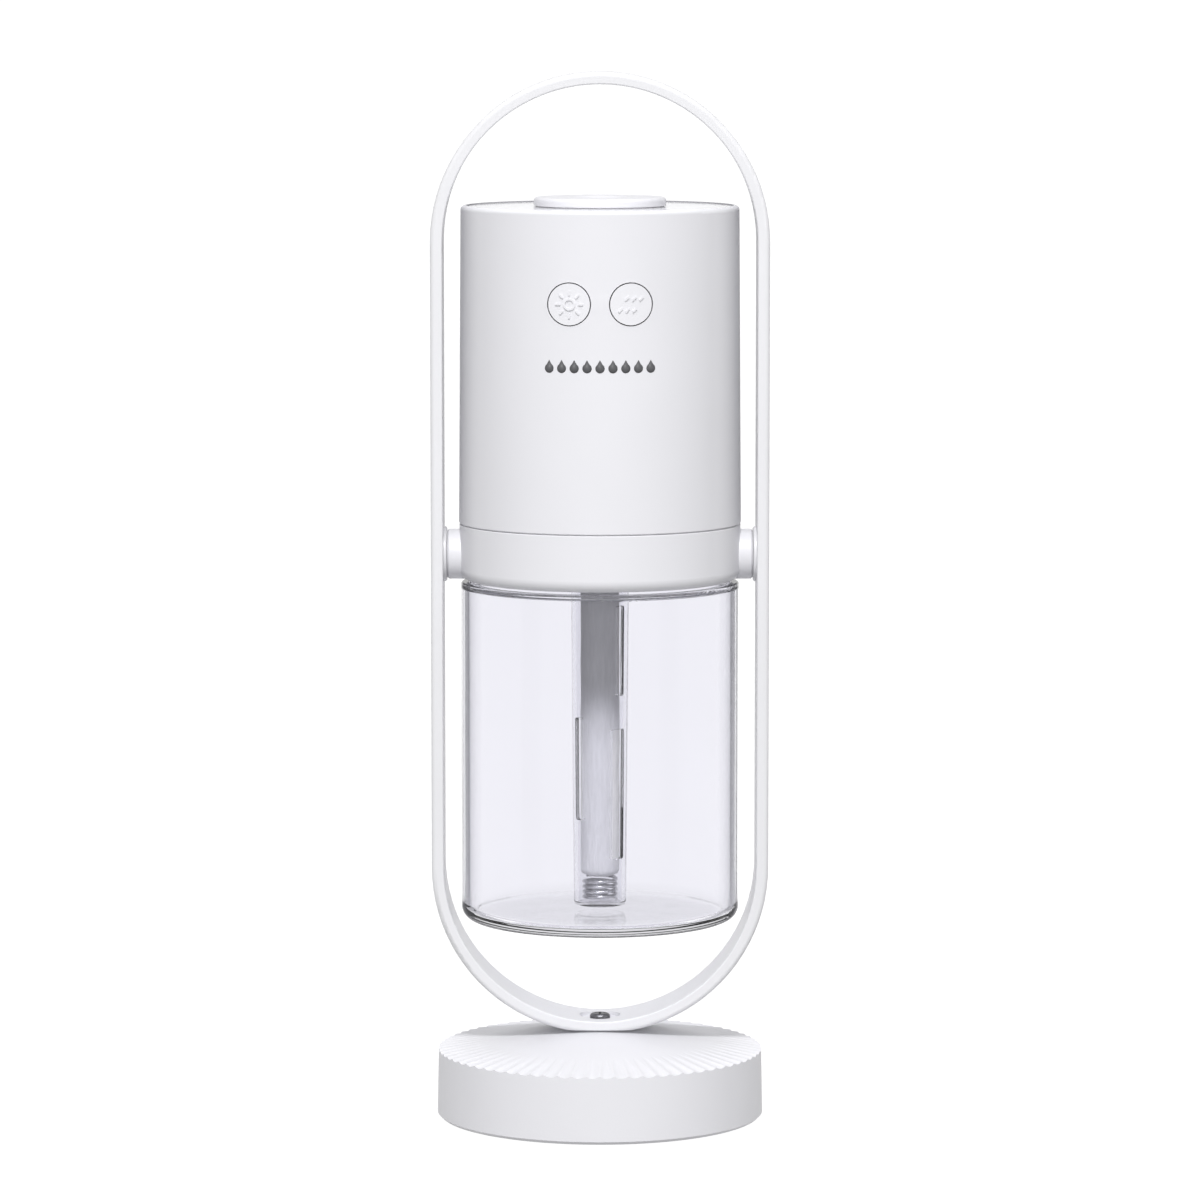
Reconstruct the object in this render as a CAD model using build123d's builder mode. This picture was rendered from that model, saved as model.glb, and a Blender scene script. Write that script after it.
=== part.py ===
"""Cool mist humidifier: a cup of head and clear tank that tips inside a hoop on a round base.

The frame has its origin under the middle of the base, on the surface it stands on.
+Z is up, the hoop spans X, and the buttons face -Y. All lengths are in millimetres.
"""

import os
from math import acos, cos, degrees, radians, sin, sqrt

from build123d import *

# ---------------------------------------------------------------- driving dimensions

# Base
BASE_RADIUS = 37.6
BASE_RIM_RADIUS = 37.3
BASE_RIM_Z = 16.0
BASE_SKIRT_Z = 0.5
BASE_EDGE = 0.7
BASE_WALL = 2.2
SEAT_RADIUS = 5.0
SEAT_Z = 21.3
FLUTE_COUNT = 72
FLUTE_CUTTER_RADIUS = 2.8
FLUTE_DEPTH = 0.33
FLUTE_START_RADIUS = 25.0
FLUTE_LIFT = 0.06
PAD_THICKNESS = 1.2
PLATE_THICKNESS = 2.0
WEIGHT_RADIUS = 25.0
WEIGHT_HEIGHT = 8.0

# Hoop
HOOP_RADIUS = 38.6
HOOP_HALF_HEIGHT = 110.2
HOOP_THICKNESS = 2.8
HOOP_WIDTH = 17.0
HOOP_OUTER_EDGE = 1.1
HOOP_INNER_EDGE = 0.4
PIVOT_Z = 130.7

# Cup: collar, head and tank
COLLAR_RADIUS = 32.2
COLLAR_BORE = 30.3
COLLAR_LIP = 2.6
COLLAR_TOP_Z = 137.9
HEAD_FOOT_RADIUS = 32.3
HEAD_TOP_RADIUS = 31.8
HEAD_FOOT_Z = 138.0
HEAD_TOP_Z = 210.5
HEAD_BORE = 30.4
RIM_EDGE = 1.0
TOP_PLATE_RADIUS = 30.4
TOP_PLATE_Z = 210.25
CAP_RADIUS = 15.1
CAP_TOP_Z = 212.4
TANK_RADIUS = 31.9
TANK_WALL = 1.8
TANK_BOTTOM_Z = 46.4
TANK_TOP_Z = 124.4
TANK_CORNER = 3.0
NECK_RADIUS = 29.1
NECK_WALL = 1.6
NECK_TOP_Z = 129.4
THREAD_LEAD = 12.0
THREAD_STARTS = 3
TANK_SEAL_THICKNESS = 1.6
LEDGE_THICKNESS = 2.5
HOLDER_THICKNESS = 2.0

# Wick
WICK_RADIUS = 4.6
WICK_SLIDE = 0.25
WICK_FOOT_Z = 56.3
TUBE_TOP_RADIUS = 6.65
TUBE_FOOT_RADIUS = 6.0
TUBE_FOOT_Z = 49.4
TUBE_WALL = 1.0
TUBE_FLOOR = 0.9

# Buttons
BUTTON_RADIUS = 4.65
BUTTON_GROOVE = 0.25
BUTTON_X = 6.9
BUTTON_Z = 189.7
BUTTON_PROUD = 0.3
BUTTON_TRAVEL = 0.5
BUTTON_FREE_PLAY = 0.05

# Fits
RUNNING = 0.08
SNUG = 0.02
FACE_GAP = 0.1

HALF = 0.5

# ---------------------------------------------------------------- dependent levels

PLATE_FOOT_Z = PAD_THICKNESS
PLATE_TOP_Z = PLATE_FOOT_Z + PLATE_THICKNESS
BASE_BORE = BASE_RADIUS - BASE_WALL
CONE_SLOPE = (SEAT_Z - BASE_RIM_Z) / (BASE_RIM_RADIUS - SEAT_RADIUS)
HOOP_BORE = HOOP_RADIUS - HOOP_THICKNESS
HOOP_FOOT_INNER_Z = PIVOT_Z - HOOP_HALF_HEIGHT + HOOP_THICKNESS
NECK_BORE = NECK_RADIUS - NECK_WALL
LEDGE_Z = NECK_TOP_Z + TANK_SEAL_THICKNESS
LEDGE_TOP_Z = LEDGE_Z + LEDGE_THICKNESS
HOLDER_TOP_Z = LEDGE_TOP_Z + HOLDER_THICKNESS
PARTS_FOLDER = "parts"


def head_radius(height):
    """Outer radius of the slightly tapered head at a height."""
    share = (height - HEAD_FOOT_Z) / (HEAD_TOP_Z - HEAD_FOOT_Z)
    return HEAD_FOOT_RADIUS + share * (HEAD_TOP_RADIUS - HEAD_FOOT_RADIUS)


def cone_z(radius):
    """Height of the base's conical top before the flutes are cut."""
    return SEAT_Z - (radius - SEAT_RADIUS) * CONE_SLOPE


# ---------------------------------------------------------------- helpers


def disc(radius, low, high, bore=0.0, mode=Mode.ADD):
    """Disc or ring about the main axis between two heights."""
    with BuildSketch(Plane.XY.offset(low)) as profile:
        Circle(radius)
        if bore > 0:
            Circle(bore, mode=Mode.SUBTRACT)
    extrude(profile.sketch, amount=high - low, mode=mode)


def peg(x, y, radius, low, high, mode=Mode.ADD):
    """Upright round peg or hole between two heights."""
    with BuildSketch(Plane.XY.offset(low)) as profile:
        with Locations((x, y)):
            Circle(radius)
    extrude(profile.sketch, amount=high - low, mode=mode)


def block(center_x, y_range, z_range, width, mode=Mode.ADD):
    """Upright block, given its width along X and its ranges along Y and Z."""
    with BuildSketch(Plane.XY.offset(z_range[0])) as profile:
        with Locations((center_x, (y_range[0] + y_range[1]) * HALF)):
            Rectangle(width, y_range[1] - y_range[0])
    extrude(profile.sketch, amount=z_range[1] - z_range[0], mode=mode)


def bar_y(x, z, radius, front, back, mode=Mode.ADD):
    """Round bar or hole along Y, from its front end to its back end."""
    with BuildSketch(Plane.XZ.offset(-back)) as profile:
        with Locations((x, z)):
            Circle(radius)
    extrude(profile.sketch, amount=back - front, mode=mode)


def bar_x(radius, inner, outer, bore=0.0, mode=Mode.ADD):
    """Round bar, ring or hole on the pivot axis, on the +X side."""
    with BuildSketch(Plane.YZ.offset(inner)) as profile:
        with Locations((0, PIVOT_Z)):
            Circle(radius)
            if bore > 0:
                Circle(bore, mode=Mode.SUBTRACT)
    extrude(profile.sketch, amount=outer - inner, mode=mode)


def turned(points, mode=Mode.ADD):
    """Solid turned about the main axis from (radius, height) points."""
    with BuildSketch(Plane.XZ) as profile:
        with BuildLine():
            Polyline(*points, close=True)
        make_face()
    revolve(profile.sketch, axis=Axis.Z, mode=mode)


def on_circle(radius, angle):
    """Point on a circle about the main axis."""
    return (radius * cos(radians(angle)), radius * sin(radians(angle)))


def keep(piece, name):
    """Label a finished piece and write its STEP file."""
    piece.part.label = name
    export_step(piece.part, os.path.join(PARTS_FOLDER, name + ".step"))


os.makedirs(PARTS_FOLDER, exist_ok=True)

# ---------------------------------------------------------------- base

BASE_BOSS_RADIUS = 3.0
BASE_BOSS_CIRCLE = 29.0
BASE_BOSS_COUNT = 3
BASE_BOSS_TURN = 90.0
BASE_BOSS_SINK = 1.0
BASE_SCREW_RADIUS = 1.1
BASE_SCREW_HEAD_RADIUS = 2.2
BASE_SCREW_HEAD = 1.4
BASE_SCREW_TIP_Z = 9.0

HOOP_SCREW_RADIUS = 1.25
HUB_RADIUS = 4.5
HUB_FOOT_Z = 17.0
WASHER_RADIUS = 3.5
WASHER_THICKNESS = 0.6
NUT_THICKNESS = 2.0
NUT_CORNER_RADIUS = 2.9

# The flute cutters lean a little more than the cone does, so each flute fades towards the middle.
flute_low = FLUTE_CUTTER_RADIUS - FLUTE_DEPTH
flute_axis_rim = (BASE_RIM_RADIUS, cone_z(BASE_RIM_RADIUS) + flute_low)
flute_high = FLUTE_CUTTER_RADIUS + FLUTE_LIFT
flute_axis_start = (FLUTE_START_RADIUS, cone_z(FLUTE_START_RADIUS) + flute_high)
flute_run = flute_axis_rim[0] - flute_axis_start[0]
flute_fall = flute_axis_rim[1] - flute_axis_start[1]
flute_plane = Plane(
    origin=(flute_axis_start[0], 0, flute_axis_start[1]),
    x_dir=(0, 1, 0),
    z_dir=(flute_run, 0, flute_fall),
)
FLUTE_OVERRUN = 1.25

with BuildPart() as flute_cutter:
    with BuildSketch(flute_plane):
        Circle(FLUTE_CUTTER_RADIUS)
    extrude(amount=flute_run * FLUTE_OVERRUN)

with BuildPart() as base_shell:
    with BuildSketch(Plane.XZ):
        with BuildLine():
            Polyline(
                (HOOP_SCREW_RADIUS + SNUG, SEAT_Z),
                (SEAT_RADIUS, SEAT_Z),
                (BASE_RIM_RADIUS, BASE_RIM_Z),
                (BASE_RADIUS, BASE_SKIRT_Z + BASE_EDGE),
                (BASE_RADIUS - BASE_EDGE, BASE_SKIRT_Z),
                (BASE_BORE, BASE_SKIRT_Z),
                (BASE_BORE, cone_z(BASE_BORE) - BASE_WALL),
                (HUB_RADIUS, cone_z(HUB_RADIUS) - BASE_WALL),
                (HUB_RADIUS, HUB_FOOT_Z),
                (HOOP_SCREW_RADIUS + SNUG, HUB_FOOT_Z),
                close=True,
            )
        make_face()
    revolve(axis=Axis.Z)
    with PolarLocations(BASE_BOSS_CIRCLE, BASE_BOSS_COUNT, start_angle=BASE_BOSS_TURN):
        with Locations((0, 0, PLATE_TOP_Z)):
            Cylinder(
                BASE_BOSS_RADIUS,
                cone_z(BASE_BOSS_CIRCLE) - BASE_BOSS_SINK - PLATE_TOP_Z,
                align=(Align.CENTER, Align.CENTER, Align.MIN),
            )
    with PolarLocations(BASE_BOSS_CIRCLE, BASE_BOSS_COUNT, start_angle=BASE_BOSS_TURN):
        with Locations((0, 0, PLATE_TOP_Z)):
            Cylinder(
                BASE_SCREW_RADIUS + SNUG,
                BASE_SCREW_TIP_Z - PLATE_TOP_Z,
                align=(Align.CENTER, Align.CENTER, Align.MIN),
                mode=Mode.SUBTRACT,
            )
    with PolarLocations(0, FLUTE_COUNT, start_angle=180 / FLUTE_COUNT):
        add(flute_cutter.part, mode=Mode.SUBTRACT)
keep(base_shell, "base_shell")

LOCATING_RING_WALL = 0.5
LOCATING_RING_HEIGHT = 2.0

with BuildPart() as base_bottom_plate:
    disc(BASE_BORE - FACE_GAP, PLATE_FOOT_Z, PLATE_TOP_Z)
    ring_bore = WEIGHT_RADIUS + FACE_GAP
    ring_top = PLATE_TOP_Z + LOCATING_RING_HEIGHT
    disc(ring_bore + LOCATING_RING_WALL, PLATE_TOP_Z, ring_top, bore=ring_bore)
    with PolarLocations(BASE_BOSS_CIRCLE, BASE_BOSS_COUNT, start_angle=BASE_BOSS_TURN):
        with Locations((0, 0, PLATE_FOOT_Z)):
            Cylinder(
                BASE_SCREW_HEAD_RADIUS + FACE_GAP,
                BASE_SCREW_HEAD,
                align=(Align.CENTER, Align.CENTER, Align.MIN),
                mode=Mode.SUBTRACT,
            )
            Cylinder(
                BASE_SCREW_RADIUS + SNUG,
                PLATE_THICKNESS,
                align=(Align.CENTER, Align.CENTER, Align.MIN),
                mode=Mode.SUBTRACT,
            )
keep(base_bottom_plate, "base_bottom_plate")

WEIGHT_BORE = 7.0
WEIGHT_EDGE = 0.6

with BuildPart() as base_weight:
    disc(WEIGHT_RADIUS, PLATE_TOP_Z, PLATE_TOP_Z + WEIGHT_HEIGHT, bore=WEIGHT_BORE)
    chamfer(base_weight.edges().filter_by(GeomType.CIRCLE), WEIGHT_EDGE)
keep(base_weight, "base_weight")

PAD_RADIUS = 33.5
PAD_EDGE = 0.4

with BuildPart() as base_foot_pad:
    disc(PAD_RADIUS, 0, PAD_THICKNESS)
    chamfer(base_foot_pad.faces().sort_by(Axis.Z)[0].edges(), PAD_EDGE)
keep(base_foot_pad, "base_foot_pad")

with BuildPart() as base_screws:
    for index in range(BASE_BOSS_COUNT):
        spot = on_circle(BASE_BOSS_CIRCLE, BASE_BOSS_TURN + index * 360 / BASE_BOSS_COUNT)
        peg(*spot, BASE_SCREW_HEAD_RADIUS, PLATE_FOOT_Z, PLATE_FOOT_Z + BASE_SCREW_HEAD)
        peg(*spot, BASE_SCREW_RADIUS, PLATE_FOOT_Z + BASE_SCREW_HEAD, BASE_SCREW_TIP_Z)
keep(base_screws, "base_screws")

# ---------------------------------------------------------------- hoop and its screw

RECESS_RADIUS = 4.75
RECESS_FLOOR_Z = 22.6
RECESS_CUT = 3.0
RECESS_TOP_Z = HOOP_FOOT_INNER_Z + RECESS_CUT
PIVOT_BORE = 3.5
BUSH_LENGTH = 1.4
BUSH_FLANGE_RADIUS = 6.3
BUSH_FLANGE = 0.75
PIVOT_SCREW_RADIUS = 1.5
PIVOT_HEAD_RADIUS = 3.15
PIVOT_HEAD = 0.75
PIVOT_CAP = 0.5

with BuildPart() as hoop:
    with BuildSketch(Plane.XZ) as hoop_outline:
        with Locations((0, PIVOT_Z)):
            SlotOverall(2 * HOOP_HALF_HEIGHT, 2 * HOOP_RADIUS, rotation=90)
            SlotOverall(
                2 * (HOOP_HALF_HEIGHT - HOOP_THICKNESS),
                2 * HOOP_BORE,
                rotation=90,
                mode=Mode.SUBTRACT,
            )
    extrude(amount=HOOP_WIDTH * HALF, both=True)
    rims = hoop.faces().filter_by(Axis.Y)
    fillet(rims.wires().sort_by(SortBy.LENGTH)[-2:].edges(), HOOP_OUTER_EDGE)
    rims = hoop.faces().filter_by(Axis.Y)
    fillet(rims.wires().sort_by(SortBy.LENGTH)[:2].edges(), HOOP_INNER_EDGE)
    # The flat foot that stands on the base
    block(0, (-HOOP_WIDTH, HOOP_WIDTH), (0, SEAT_Z), 2 * HOOP_RADIUS, mode=Mode.SUBTRACT)
    disc(RECESS_RADIUS, RECESS_FLOOR_Z, RECESS_TOP_Z, mode=Mode.SUBTRACT)
    disc(HOOP_SCREW_RADIUS + RUNNING, SEAT_Z, RECESS_TOP_Z, mode=Mode.SUBTRACT)
    bar_x(PIVOT_BORE + SNUG, -2 * HOOP_RADIUS, 2 * HOOP_RADIUS, mode=Mode.SUBTRACT)
keep(hoop, "hoop")

SCREW_HEAD_RADIUS = 2.35
SCREW_HEAD = 1.3
SCREW_DOME = 0.8
CROSS_LENGTH = 2.6
CROSS_WIDTH = 0.55
CROSS_DEPTH = 0.7
SCREW_END = 1.0
SCREW_TIP_Z = HUB_FOOT_Z - WASHER_THICKNESS - NUT_THICKNESS - SCREW_END

with BuildPart() as hoop_screw:
    disc(SCREW_HEAD_RADIUS, RECESS_FLOOR_Z, RECESS_FLOOR_Z + SCREW_HEAD)
    fillet(hoop_screw.faces().sort_by(Axis.Z)[-1].edges(), SCREW_DOME)
    with BuildSketch(Plane.XY.offset(RECESS_FLOOR_Z + SCREW_HEAD)):
        Rectangle(CROSS_LENGTH, CROSS_WIDTH)
        Rectangle(CROSS_WIDTH, CROSS_LENGTH)
    extrude(amount=-CROSS_DEPTH, mode=Mode.SUBTRACT)
    disc(HOOP_SCREW_RADIUS, SCREW_TIP_Z, RECESS_FLOOR_Z)
keep(hoop_screw, "hoop_screw")

with BuildPart() as hoop_washer:
    disc(
        WASHER_RADIUS,
        HUB_FOOT_Z - WASHER_THICKNESS,
        HUB_FOOT_Z,
        bore=HOOP_SCREW_RADIUS + RUNNING,
    )
keep(hoop_washer, "hoop_washer")

with BuildPart() as hoop_nut:
    nut_top = HUB_FOOT_Z - WASHER_THICKNESS
    with BuildSketch(Plane.XY.offset(nut_top - NUT_THICKNESS)):
        RegularPolygon(NUT_CORNER_RADIUS, 6)
        Circle(HOOP_SCREW_RADIUS + SNUG, mode=Mode.SUBTRACT)
    extrude(amount=NUT_THICKNESS)
keep(hoop_nut, "hoop_nut")

# ---------------------------------------------------------------- pivots

FLANGE_EDGE = 0.25

with BuildPart() as pivot_bushes:
    bush_bore = PIVOT_SCREW_RADIUS + RUNNING
    bar_x(BUSH_FLANGE_RADIUS, HOOP_BORE - BUSH_FLANGE, HOOP_BORE, bore=bush_bore)
    outer_rim = pivot_bushes.edges().filter_by(GeomType.CIRCLE).sort_by(SortBy.RADIUS)[-2:]
    chamfer(outer_rim.sort_by(Axis.X)[0], FLANGE_EDGE)
    bar_x(PIVOT_BORE, HOOP_BORE, HOOP_BORE + BUSH_LENGTH, bore=bush_bore)
    mirror(about=Plane.YZ)
keep(pivot_bushes, "pivot_bushes")

BOSS_RADIUS = 5.75
BOSS_END = HOOP_BORE - BUSH_FLANGE - FACE_GAP
BOSS_EDGE = 0.4
PIVOT_SCREW_TIP = 31.2

with BuildPart() as pivot_screws:
    head_seat = HOOP_BORE + BUSH_LENGTH + RUNNING
    bar_x(PIVOT_SCREW_RADIUS, PIVOT_SCREW_TIP, head_seat)
    bar_x(PIVOT_HEAD_RADIUS, head_seat, head_seat + PIVOT_HEAD)
    mirror(about=Plane.YZ)
keep(pivot_screws, "pivot_screws")

with BuildPart() as pivot_caps:
    bar_x(PIVOT_BORE, HOOP_RADIUS - PIVOT_CAP, HOOP_RADIUS)
    mirror(about=Plane.YZ)
keep(pivot_caps, "pivot_caps")

# ---------------------------------------------------------------- collar

SPIGOT_BORE = 28.6
SPIGOT_RADIUS = 30.2
SPIGOT_TOP_Z = 141.0
LEDGE_BORE = 21.5
SEAM_EDGE = 0.25
LEDGE_SCREW_CIRCLE = 25.0
LEDGE_SCREW_TURN = 30.0
LEDGE_SCREW_COUNT = 3
LEDGE_SCREW_RADIUS = 1.2
LEDGE_SCREW_HEAD_RADIUS = 2.3
LEDGE_SCREW_HEAD = 1.3
LUG_HEIGHT = 1.0
LUG_REACH = 0.9
LUG_ARC = 30.0
LUG_FOOT_Z = 127.3
RAMP_ARC = 70.0
RAMP_START = -30.0
RAMP_GAP = 0.35
RAMP_INNER = 29.5
RIDGE_ROOT = 0.2
COLLAR_GAP = 0.5
BOSS_ROOT = 1.2


def thread_ridge(radius, width, start_angle, arc, start_z):
    """One helical ridge of the tank's quick thread, and its copies for the other starts."""
    rise = THREAD_LEAD * arc / 360
    with BuildPart() as ridge:
        with BuildLine() as path:
            Helix(THREAD_LEAD, rise, radius, center=(0, 0, start_z))
        with BuildSketch(Plane(path.line @ 0, x_dir=(1, 0, 0), z_dir=path.line % 0)):
            Rectangle(width, LUG_HEIGHT)
        sweep(path=path.line, is_frenet=True)
    with PolarLocations(0, THREAD_STARTS, start_angle=start_angle):
        add(ridge.part)


with BuildPart() as collar:
    lip_angle = degrees(acos((COLLAR_BORE - COLLAR_RADIUS + COLLAR_LIP) / COLLAR_LIP))
    lip_z = TANK_TOP_Z + COLLAR_GAP + COLLAR_LIP
    lip_rise = COLLAR_LIP * sin(radians(lip_angle))
    with BuildSketch(Plane.XZ):
        with BuildLine():
            CenterArc((COLLAR_RADIUS - COLLAR_LIP, lip_z), COLLAR_LIP, 0, -lip_angle)
            Polyline(
                (COLLAR_BORE, lip_z - lip_rise),
                (COLLAR_BORE, LEDGE_Z),
                (LEDGE_BORE, LEDGE_Z),
                (LEDGE_BORE, LEDGE_TOP_Z),
                (SPIGOT_BORE, LEDGE_TOP_Z),
                (SPIGOT_BORE, SPIGOT_TOP_Z),
                (SPIGOT_RADIUS, SPIGOT_TOP_Z),
                (SPIGOT_RADIUS, COLLAR_TOP_Z),
                (COLLAR_RADIUS - SEAM_EDGE, COLLAR_TOP_Z),
                (COLLAR_RADIUS, COLLAR_TOP_Z - SEAM_EDGE),
                (COLLAR_RADIUS, lip_z),
            )
        make_face()
    revolve(axis=Axis.Z)
    # Pivot bosses, rooted in the wall of the collar
    for side in (1, -1):
        boss_root = sqrt(COLLAR_BORE**2 - BOSS_RADIUS**2) + BOSS_ROOT
        with BuildSketch(Plane.YZ.offset(side * boss_root)):
            with Locations((0, PIVOT_Z)):
                Circle(BOSS_RADIUS)
        extrude(amount=side * (BOSS_END - boss_root))
    ends = collar.faces().filter_by(Axis.X).sort_by(Axis.X)
    chamfer(ends[-1].edges() + ends[0].edges(), BOSS_EDGE)
    screw_bore = PIVOT_SCREW_RADIUS + SNUG
    bore_end = PIVOT_SCREW_TIP - FACE_GAP
    bar_x(screw_bore, bore_end, HOOP_BORE, mode=Mode.SUBTRACT)
    bar_x(screw_bore, -HOOP_BORE, -bore_end, mode=Mode.SUBTRACT)
    for index in range(LEDGE_SCREW_COUNT):
        spot = on_circle(LEDGE_SCREW_CIRCLE, LEDGE_SCREW_TURN + index * 360 / LEDGE_SCREW_COUNT)
        head_bore = LEDGE_SCREW_HEAD_RADIUS + FACE_GAP
        peg(*spot, head_bore, LEDGE_Z, LEDGE_Z + LEDGE_SCREW_HEAD, mode=Mode.SUBTRACT)
        peg(*spot, LEDGE_SCREW_RADIUS + SNUG, LEDGE_Z, LEDGE_TOP_Z, mode=Mode.SUBTRACT)
    ramp_outer = COLLAR_BORE + RIDGE_ROOT
    ramp_mean = (RAMP_INNER + ramp_outer) * HALF
    ramp_z = LUG_FOOT_Z - RAMP_GAP - LUG_HEIGHT * HALF + THREAD_LEAD * RAMP_START / 360
    thread_ridge(ramp_mean, ramp_outer - RAMP_INNER, RAMP_START, RAMP_ARC, ramp_z)
keep(collar, "collar")

SEAL_OVERHANG = 0.2

with BuildPart() as tank_seal:
    seal_bore = NECK_BORE - SEAL_OVERHANG
    disc(NECK_RADIUS + SEAL_OVERHANG, NECK_TOP_Z, LEDGE_Z, bore=seal_bore)
keep(tank_seal, "tank_seal")

# ---------------------------------------------------------------- tank

TANK_BORE = TANK_RADIUS - TANK_WALL
TANK_FLOOR = 2.0
SHOULDER_EDGE = 0.6
SHOULDER_WALL = 1.1
SHOULDER_INNER_EDGE = 0.5
TANK_INNER_CORNER = 2.0

with BuildPart() as water_tank:
    shoulder_low = TANK_TOP_Z - SHOULDER_WALL
    with BuildSketch(Plane.XZ):
        with BuildLine():
            Polyline(
                (0, TANK_BOTTOM_Z),
                (TANK_RADIUS - TANK_CORNER, TANK_BOTTOM_Z),
            )
            CenterArc(
                (TANK_RADIUS - TANK_CORNER, TANK_BOTTOM_Z + TANK_CORNER), TANK_CORNER, 270, 90
            )
            Polyline(
                (TANK_RADIUS, TANK_BOTTOM_Z + TANK_CORNER),
                (TANK_RADIUS, TANK_TOP_Z - SHOULDER_EDGE),
            )
            CenterArc(
                (TANK_RADIUS - SHOULDER_EDGE, TANK_TOP_Z - SHOULDER_EDGE), SHOULDER_EDGE, 0, 90
            )
            Polyline(
                (TANK_RADIUS - SHOULDER_EDGE, TANK_TOP_Z),
                (NECK_RADIUS, TANK_TOP_Z),
                (NECK_RADIUS, NECK_TOP_Z),
                (NECK_BORE, NECK_TOP_Z),
                (NECK_BORE, shoulder_low),
                (TANK_BORE - SHOULDER_INNER_EDGE, shoulder_low),
            )
            CenterArc(
                (TANK_BORE - SHOULDER_INNER_EDGE, shoulder_low - SHOULDER_INNER_EDGE),
                SHOULDER_INNER_EDGE,
                90,
                -90,
            )
            Line(
                (TANK_BORE, shoulder_low - SHOULDER_INNER_EDGE),
                (TANK_BORE, TANK_BOTTOM_Z + TANK_FLOOR + TANK_INNER_CORNER),
            )
            CenterArc(
                (TANK_BORE - TANK_INNER_CORNER, TANK_BOTTOM_Z + TANK_FLOOR + TANK_INNER_CORNER),
                TANK_INNER_CORNER,
                0,
                -90,
            )
            Polyline(
                (TANK_BORE - TANK_INNER_CORNER, TANK_BOTTOM_Z + TANK_FLOOR),
                (0, TANK_BOTTOM_Z + TANK_FLOOR),
                (0, TANK_BOTTOM_Z),
            )
        make_face()
    revolve(axis=Axis.Z)
    lug_mean = NECK_RADIUS + (LUG_REACH - RIDGE_ROOT) * HALF
    thread_ridge(lug_mean, LUG_REACH + RIDGE_ROOT, 0, LUG_ARC, LUG_FOOT_Z + LUG_HEIGHT * HALF)
keep(water_tank, "water_tank")

# ---------------------------------------------------------------- wick, its tube, spring and holder

CHANNEL_BORE = WICK_RADIUS + WICK_SLIDE
CHANNEL_RADIUS = 6.2
CHANNEL_CUP_RADIUS = 10.2
CHANNEL_CUP_Z = 202.6
CHANNEL_FLARE = 3.0
CHANNEL_TOP_Z = 204.6
SOCKET_FOOT_Z = 125.6
SOCKET_RADIUS = 8.6
HOLDER_RADIUS = 28.3
LENS_CIRCLE = 15.5
LENS_RADIUS = 3.0
LENS_COUNT = 6
LENS_TURN = 30.0
BOARD_POST_CIRCLE = 19.0
BOARD_POST_RADIUS = 1.5
BOARD_POST_COUNT = 3
LIGHT_BOARD_Z = 138.2
UPPER_SLOT = (98.4, 119.2)
UPPER_SLOT_TURN = 48.0
UPPER_SLOT_WIDTH = 2.0
LOWER_SLOT = (60.6, 90.7)
LOWER_SLOT_TURN = 43.5
LOWER_SLOT_WIDTH = 3.6
LEFT_SLOT = (69.6, 93.3)
LEFT_SLOT_TURN = -51.5
LEFT_SLOT_WIDTH = 2.5
SLOT_CORNER = 0.6
TUBE_TOP_Z = LEDGE_TOP_Z
TUBE_EDGE = 0.9

with BuildPart() as wick_tube:
    tube_edge_cut = TUBE_EDGE * (1 - cos(radians(45)))
    turned(
        (
            (0, TUBE_FOOT_Z),
            (TUBE_FOOT_RADIUS - TUBE_EDGE, TUBE_FOOT_Z),
            (TUBE_FOOT_RADIUS - tube_edge_cut, TUBE_FOOT_Z + tube_edge_cut),
            (TUBE_FOOT_RADIUS, TUBE_FOOT_Z + TUBE_EDGE),
            (TUBE_TOP_RADIUS, TANK_TOP_Z),
            (TUBE_TOP_RADIUS, TUBE_TOP_Z),
            (TUBE_TOP_RADIUS - TUBE_WALL, TUBE_TOP_Z),
            (TUBE_TOP_RADIUS - TUBE_WALL, TANK_TOP_Z),
            (TUBE_FOOT_RADIUS - TUBE_WALL, TUBE_FOOT_Z + TUBE_FLOOR),
            (0, TUBE_FOOT_Z + TUBE_FLOOR),
        )
    )
    # Slots that let the water in, each at an angle from the front towards +X
    for turn, slot, width in (
        (UPPER_SLOT_TURN, UPPER_SLOT, UPPER_SLOT_WIDTH),
        (LOWER_SLOT_TURN, LOWER_SLOT, LOWER_SLOT_WIDTH),
        (LEFT_SLOT_TURN, LEFT_SLOT, LEFT_SLOT_WIDTH),
    ):
        across = (cos(radians(turn)), sin(radians(turn)), 0)
        outward = (sin(radians(turn)), -cos(radians(turn)), 0)
        with BuildSketch(Plane(origin=(0, 0, 0), x_dir=across, z_dir=outward)) as opening:
            with Locations((0, (slot[0] + slot[1]) * HALF)):
                RectangleRounded(width, slot[1] - slot[0], SLOT_CORNER)
        extrude(opening.sketch, amount=2 * TUBE_TOP_RADIUS, mode=Mode.SUBTRACT)
keep(wick_tube, "wick_tube")

ATOMISER_Z = 205.5
WICK_EDGE = 0.4

with BuildPart() as cotton_wick:
    disc(WICK_RADIUS, WICK_FOOT_Z, ATOMISER_Z)
    chamfer(cotton_wick.edges().filter_by(GeomType.CIRCLE), WICK_EDGE)
keep(cotton_wick, "cotton_wick")

SPRING_RADIUS = 3.7
SPRING_WIRE = 0.4
SPRING_TURNS = 4.4

with BuildPart() as wick_spring:
    spring_low = TUBE_FOOT_Z + TUBE_FLOOR + SPRING_WIRE
    spring_high = WICK_FOOT_Z - SPRING_WIRE
    with BuildLine() as coil:
        Helix(
            (spring_high - spring_low) / SPRING_TURNS,
            spring_high - spring_low,
            SPRING_RADIUS,
            center=(0, 0, spring_low),
        )
    with BuildSketch(Plane(coil.line @ 0, x_dir=(1, 0, 0), z_dir=coil.line % 0)):
        Circle(SPRING_WIRE)
    sweep(path=coil.line, is_frenet=True)
keep(wick_spring, "wick_spring")

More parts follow.
